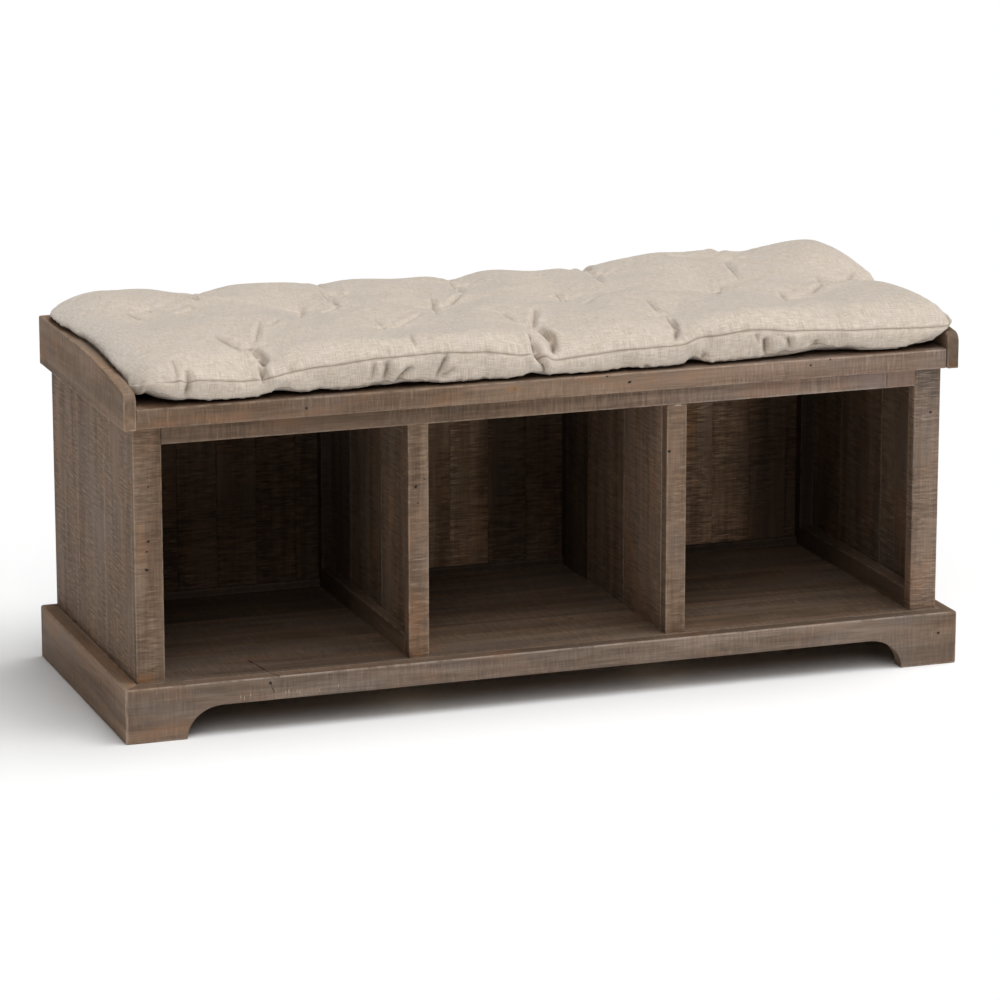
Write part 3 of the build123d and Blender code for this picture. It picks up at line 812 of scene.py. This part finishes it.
def plan(x, y):
    """Where a point of the flat panel lies in plan: corners rounded, sides drawn in between them."""
    u, v = x / HALF_X, y / HALF_Y
    a = np.clip((np.abs(x) - HALF_X) / CORNER + 1, 0, 1)
    b = np.clip((np.abs(y) - HALF_Y) / CORNER + 1, 0, 1)
    roundness = np.where(x < 0, ROUND_LEFT, ROUND_RIGHT)
    round_x = CORNER * a * (np.sqrt(1 - roundness * b * b / 2) - 1)
    round_y = CORNER * b * (np.sqrt(1 - roundness * a * a / 2) - 1)
    px = x + np.sign(x) * (round_x - ENDS_DRAWN_IN * (1 - v * v) * np.abs(u))
    py = y + np.sign(y) * (round_y - SIDES_DRAWN_IN * (1 - u ** 6) * np.abs(v))
    return px, py + MID_Y


def tuft_pull(x, y, reach):
    """1 at a tuft, falling to 0 at reach from it, with a sharp bottom."""
    near = np.min([np.hypot(x - tx, y - ty) for tx, ty in TUFTS], axis=0)
    return np.clip(1 - near / reach, 0, 1) ** 1.6


def starting_shape(grid):
    """The cushion before it swells."""
    co = np.zeros((grid.count, 3))
    px, py = plan(grid.flat_x, grid.flat_y)
    rise = np.sin(np.clip(grid.inside / CROWN_REACH, 0, 1) * math.pi / 2) ** 0.7
    top_z = SEAM_Z + (CROWN_Z - SEAM_Z) * rise - TUFT_DEPTH * tuft_pull(px, py, TUFT_REACH)
    bottom_z = SEAT_TOP + BASE_GAP + BASE_TUFT_HEIGHT * tuft_pull(px, py, BASE_TUFT_REACH)
    co[grid.top.ravel()] = np.stack((px, py, top_z), -1).reshape(-1, 3)
    co[grid.bottom.ravel()] = np.stack((px, py, bottom_z), -1).reshape(-1, 3)
    rim, foot = co[grid.rows[0]], co[grid.rows[-1]]
    around = np.roll(rim, -1, 0) - np.roll(rim, 1, 0)
    outward = np.stack((around[:, 1], -around[:, 0]), -1)
    outward /= np.linalg.norm(outward, axis=1)[:, None]
    for level in range(1, len(grid.band) - 1):
        share = grid.band[level]
        row = rim * (1 - share) + foot * share
        row[:, :2] += outward * (BAND_BULGE * math.sin(math.pi * share))
        co[grid.rows[level]] = row
    return co


def flat_shape(grid, start):
    """The cut cloth's own size, which the simulation takes its lengths from."""
    flat = start.copy()
    top = np.stack((grid.flat_x, grid.flat_y + MID_Y, np.full_like(grid.flat_x, SEAM_Z)), -1)
    flat[grid.top.ravel()] = top.reshape(-1, 3)
    return flat


def held_points(grid, start):
    """The points that don't move as the cloth swells: its tufts and the middle of its base."""
    top = grid.top.ravel()
    x, y, _ = start[top].T
    tufts = [int(top[np.argmin(np.hypot(x - tx, y - ty))]) for tx, ty in TUFTS]
    return tufts + [int(n) for n in grid.bottom[grid.inside > HELD_INSIDE]]


def swell(piece, grid, start):
    """Blows the cloth up by simulation, and gives where its points end."""
    held = piece.vertex_groups.new(name="held")
    held.add(held_points(grid, start), 1.0, "REPLACE")
    piece.shape_key_add(name="start")
    cut = piece.shape_key_add(name="cut")
    cut.data.foreach_set("co", flat_shape(grid, start).astype(np.float32).ravel())
    cloth = piece.modifiers.new("swell", "CLOTH")
    setting = cloth.settings
    setting.vertex_group_mass = "held"
    setting.rest_shape_key = cut
    setting.use_pressure = True
    setting.uniform_pressure_force = PRESSURE
    setting.shrink_min = setting.shrink_max = -0.03
    setting.tension_stiffness = setting.compression_stiffness = 15.0
    setting.shear_stiffness = 8.0
    setting.bending_stiffness = 3.0
    setting.quality = 6
    setting.effector_weights.gravity = 0.0
    cloth.collision_settings.use_collision = False
    cloth.point_cache.frame_end = SWELL_FRAMES
    for number in range(1, SWELL_FRAMES + 1):
        bpy.context.scene.frame_set(number)
    moved = np.zeros(len(start) * 3)
    evaluated(piece).data.vertices.foreach_get("co", moved)
    piece.modifiers.remove(cloth)
    piece.vertex_groups.remove(held)
    piece.shape_key_clear()
    bpy.context.scene.frame_set(1)
    offset = moved.reshape(-1, 3) - start
    length = np.linalg.norm(offset, axis=1)[:, None]
    return start + offset * np.minimum(1.0, PUFF_CAP / np.maximum(length, 1e-9))


def relax(mesh, co, rounds, strength):
    """Evens out wrinkles as small as the grid."""
    edges = np.zeros(len(mesh.edges) * 2, int)
    mesh.edges.foreach_get("vertices", edges)
    a, b = edges.reshape(-1, 2).T
    ends = np.bincount(edges, minlength=len(co))[:, None]
    for _ in range(rounds):
        total = np.zeros_like(co)
        np.add.at(total, a, co[b])
        np.add.at(total, b, co[a])
        co = co + strength * (total / ends - co)
    return co


def rail_height(y):
    """Top of the arm rails: level at the back, then falling in an arc to the nose."""
    start, nose, drop = 0.040, RAIL_LOW.y, 0.0205
    return RAIL_HIGH.z - drop * np.clip((start - y) / (start - nose), 0, 1) ** 2


def eased(x, points):
    """A smooth line through (x, value) points."""
    xs, values = np.array(points).T
    after = np.clip(np.searchsorted(xs, x), 1, len(xs) - 1)
    share = smooth_step(x, xs[after - 1], xs[after])
    return values[after - 1] * (1 - share) + values[after] * share


def draw_seams(co, grid):
    """Evens the top, pulls the front seam to its wavy line, tucks the left-hand one in behind the
    arm rail and lifts the front of the base where the folds are."""
    co = co.copy()
    top = grid.top.ravel()
    evened = EVENED * smooth_step(grid.inside, 0.02, 0.07).ravel()
    co[top, 2] += (LEVEL_Z - co[top, 2]) * evened
    behind = bump(grid.ys, -HALF_Y, 0.050)
    beside = bump(grid.xs, -HALF_X, 0.045)
    above = 1 - grid.band[1:-1]
    for i in range(len(grid.xs)):
        x = co[grid.top[i, 0], 0]
        move = eased(x, FRONT_SEAM) - co[grid.top[i, 0], 2]
        co[grid.top[i], 2] += move * behind
        co[grid.rows[1:-1, i], 2] += move * above
        lift = sum(height * bump(x, place, reach) for place, height, reach in FOOT_LIFTS)
        co[grid.bottom[i], 2] += lift * behind
        co[grid.rows[1:-1, i], 2] += lift * (1 - above)
    for j in range(1, len(grid.ys)):
        side = len(grid.rim) - j
        y = co[grid.top[0, j], 1]
        at_nose = smooth_step(-y, 0.19, 0.23)
        level = rail_height(y) - SEAM_UNDER_RAIL + 2 * SEAM_UNDER_RAIL * at_nose
        move = level - co[grid.top[0, j], 2]
        co[grid.top[:, j], 2] += move * beside
        co[grid.rows[1:-1, side], 2] += move * above
    return co


def settle(co):
    """Lies the swollen cushion as it lies on the bench: pressed down on the seat, higher and lower
    along its back edge, and hanging over the rails at both ends."""
    x, y, z = co.T
    over_seat = z - SEAT_TOP
    pressed = PRESSED * (1 - smooth_step(abs(x), 0.52, 0.59))
    z = z - pressed * over_seat * (1 - smooth_step(over_seat, 0.006, 0.030))
    upper = smooth_step(z, SEAT_TOP + 0.012, SEAT_TOP + 0.040)
    lift = BACK_LIFT + sum(height * bump(x, place, reach) for place, height, reach in BACK_BUMPS)
    z = z + lift * smooth_step(y, 0.0, 0.15) * upper
    z = z + RIGHT_RISE * bump(y, 0.020, 0.040) * smooth_step(x, 0.54, 0.60) * upper
    right = HANG_RIGHT * smooth_step(x, 0.46, 0.59) * upper
    left = HANG_LEFT * smooth_step(-x, 0.50, 0.59) * upper * smooth_step(y, -0.25, -0.12)
    return np.stack((x + right - left, y, z), -1)


def keep_clear(co):
    """Keeps the cloth off the seat and inside the arm rails, or above them where it hangs over."""
    x, y, z = co.T
    z = np.maximum(z, SEAT_TOP + RAIL_GAP / 2)
    above = smooth_step(z - rail_height(y), RAIL_GAP, RAIL_GAP + 0.006)
    limit = RAIL_LOW.x - RAIL_GAP + OVERHANG * above
    return np.stack((np.clip(x, -limit, limit), y, z), -1)


def along_fold(u, v, points):
    """Distance from a line of points, and how far along it the nearest place is, from 0 to 1."""
    whole = sum(math.dist(a, b) for a, b in zip(points, points[1:]))
    nearest, share, before = np.full(len(u), np.inf), np.zeros(len(u)), 0.0
    for a, b in zip(points, points[1:]):
        length = math.dist(a, b)
        du, dv = (b[0] - a[0]) / length, (b[1] - a[1]) / length
        along = np.clip((u - a[0]) * du + (v - a[1]) * dv, 0, length)
        away = np.hypot(u - a[0] - along * du, v - a[1] - along * dv)
        share = np.where(away < nearest, (before + along) / whole, share)
        nearest = np.minimum(away, nearest)
        before += length
    return nearest, share


def fold_depth(u, v):
    """How far each point of the laid-out cloth sinks into its folds; the cloth beside them rises."""
    sink = np.zeros(len(u))
    back = tuple((((x, y + 0.04), (x - 0.006, HALF_Y + BAND)), 0.0050, 0.0050) for x, y in TUFTS[-5:])
    for points, depth, width in FOLDS + back:
        away, share = along_fold(u, v, points)
        ends = smooth_step(share, 0.0, 0.25) * smooth_step(1 - share, 0.0, 0.30)
        valley = np.exp(-(away / width) ** 1.3)
        lips = LIP_HEIGHT * bump(away, 2.1 * width, 1.3 * width)
        sink += FOLD_GAIN * depth * ends * (valley - lips)
    return sink


def tuft_depth(u, v):
    """How far each point of the laid-out cloth sinks at its tuft: a dimple with pleats round it."""
    sink = np.zeros(len(u))
    for number, (x, y) in enumerate(TUFTS):
        du, dv = u - x, v - (y - MID_Y)
        away, turn = np.hypot(du, dv), np.arctan2(dv, du)
        pleats = np.cos((5 + number % 3) * turn + 2.1 * number) * bump(away, PLEAT_RADIUS, PLEAT_REACH)
        sink += DIMPLE * bump(away, 0.0, DIMPLE_REACH) + PLEAT * pleats
    return sink


def pinch_seams(mesh):
    """Presses the folds in, draws the seams in and puckers the cloth beside them."""
    count = len(mesh.vertices)
    co, normal = np.zeros((2, count * 3))
    mesh.vertices.foreach_get("co", co)
    mesh.vertices.foreach_get("normal", normal)
    co, normal = co.reshape(-1, 3), normal.reshape(-1, 3)
    away, seam = read_values(mesh, "from_seam"), read_values(mesh, "seam")
    across, deep = read_values(mesh, "across"), read_values(mesh, "deep")
    x, y, _ = co.T
    wave = (np.sin(x * 310 + 1.3 * np.sin(x * 47)) * np.sin(y * 290 + 1.1 * np.sin(y * 53) + 0.7)
            + 0.6 * np.sin(x * 560 + 2.0 * np.sin(x * 31)) * np.cos(y * 210))
    sink = fold_depth(across, deep) + tuft_depth(across, deep)
    rise = PUCKER * wave * np.exp(-away / PUCKER_REACH) - SEAM_GROOVE * seam - sink
    mesh.attributes.remove(mesh.attributes["from_seam"])
    write_shape(mesh, keep_clear(co + normal * rise[:, None]))


def write_shape(mesh, co):
    mesh.vertices.foreach_set("co", co.astype(np.float32).ravel())
    mesh.update()


def add_values(mesh, name, values):
    made = mesh.attributes.new(name, "FLOAT", "POINT")
    made.data.foreach_set("value", values.astype(np.float32))


def read_values(mesh, name):
    values = np.zeros(len(mesh.vertices))
    mesh.attributes[name].data.foreach_get("value", values)
    return values


def make_cushion():
    """Cuts, swells and lays the cushion, then presses its folds and seams in."""
    grid = PadGrid()
    quads, places = grid.faces()
    start = starting_shape(grid)
    mesh = bpy.data.meshes.new("cushion cloth")
    mesh.from_pydata(start.tolist(), [], [[int(n) for n in quad] for quad in quads])
    cloth = mesh.uv_layers.new(name="cloth")
    cloth.data.foreach_set("uv", places.astype(np.float32).ravel())
    on_seam = np.zeros(grid.count)
    on_seam[grid.rows[0]] = on_seam[grid.rows[-1]] = 1.0
    on_seam[grid.rows[:, grid.corners[1]]] = 1.0
    add_values(mesh, "seam", on_seam)
    add_values(mesh, "from_seam", grid.from_seam())
    for name, values in zip(("across", "deep"), grid.laid_out().T):
        add_values(mesh, name, values)
    piece = add_object("tufted_cushion", mesh)
    shape = swell(piece, grid, start)
    shape = draw_seams(relax(mesh, shape, 2, 0.5), grid)
    write_shape(mesh, keep_clear(settle(relax(mesh, shape, 1, 0.5))))
    smooth = piece.modifiers.new("smooth", "SUBSURF")
    smooth.levels = smooth.render_levels = 1
    bpy.context.view_layer.update()
    finer = bpy.data.meshes.new_from_object(evaluated(piece))
    piece.modifiers.clear()
    piece.data = finer
    finer.name = "tufted_cushion"
    finer.polygons.foreach_set("use_smooth", [True] * len(finer.polygons))
    pinch_seams(finer)
    finer.materials.append(linen())
    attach(piece, "cushion")
    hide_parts("cushion")


# ---- stage

def make_floor():
    mesh = bpy.data.meshes.new("floor")
    reach = 40.0
    corners = [(-reach, -reach, 0), (reach, -reach, 0), (reach, reach, 0), (-reach, reach, 0)]
    mesh.from_pydata(corners, [], [(0, 1, 2, 3)])
    material, _, shader = new_material("pale floor")
    shader["Base Color"].default_value = colour(1.0, 1.0, 1.0)
    shader["Roughness"].default_value = 1.0
    shader["Specular IOR Level"].default_value = 0.0
    mesh.materials.append(material)
    add_object("floor", mesh)


def soft_sun(name, azimuth, elevation, spread, strength):
    """A broad soft light; azimuth is from the front, positive to the right, in degrees."""
    light = bpy.data.lights.new(name, "SUN")
    light.angle = math.radians(spread)
    light.energy = strength
    lamp = add_object(name, light)
    lamp.rotation_euler = (math.radians(90 - elevation), 0.0, math.radians(azimuth))


def make_light():
    world = bpy.data.worlds.new("studio")
    world.use_nodes = True
    background = world.node_tree.nodes["Background"].inputs
    background["Color"].default_value = colour(1.0, 1.0, 1.0)
    background["Strength"].default_value = 0.03
    bpy.context.scene.world = world
    soft_sun("key", azimuth=70.0, elevation=68.0, spread=50.0, strength=2.58)
    soft_sun("front", azimuth=-12.0, elevation=45.0, spread=45.0, strength=1.00)
    bpy.context.scene.view_settings.view_transform = "Standard"


def make_camera():
    data = bpy.data.cameras.new("camera")
    data.sensor_width = 36.0
    data.lens = 162.27
    camera = add_object("camera", data)
    camera.location = (-2.1222, -5.9937, 1.7946)
    camera.rotation_euler = (math.radians(76.26), 0.0, math.radians(-19.53))
    bpy.context.scene.camera = camera


dress_frame()
make_cushion()
make_floor()
make_light()
make_camera()
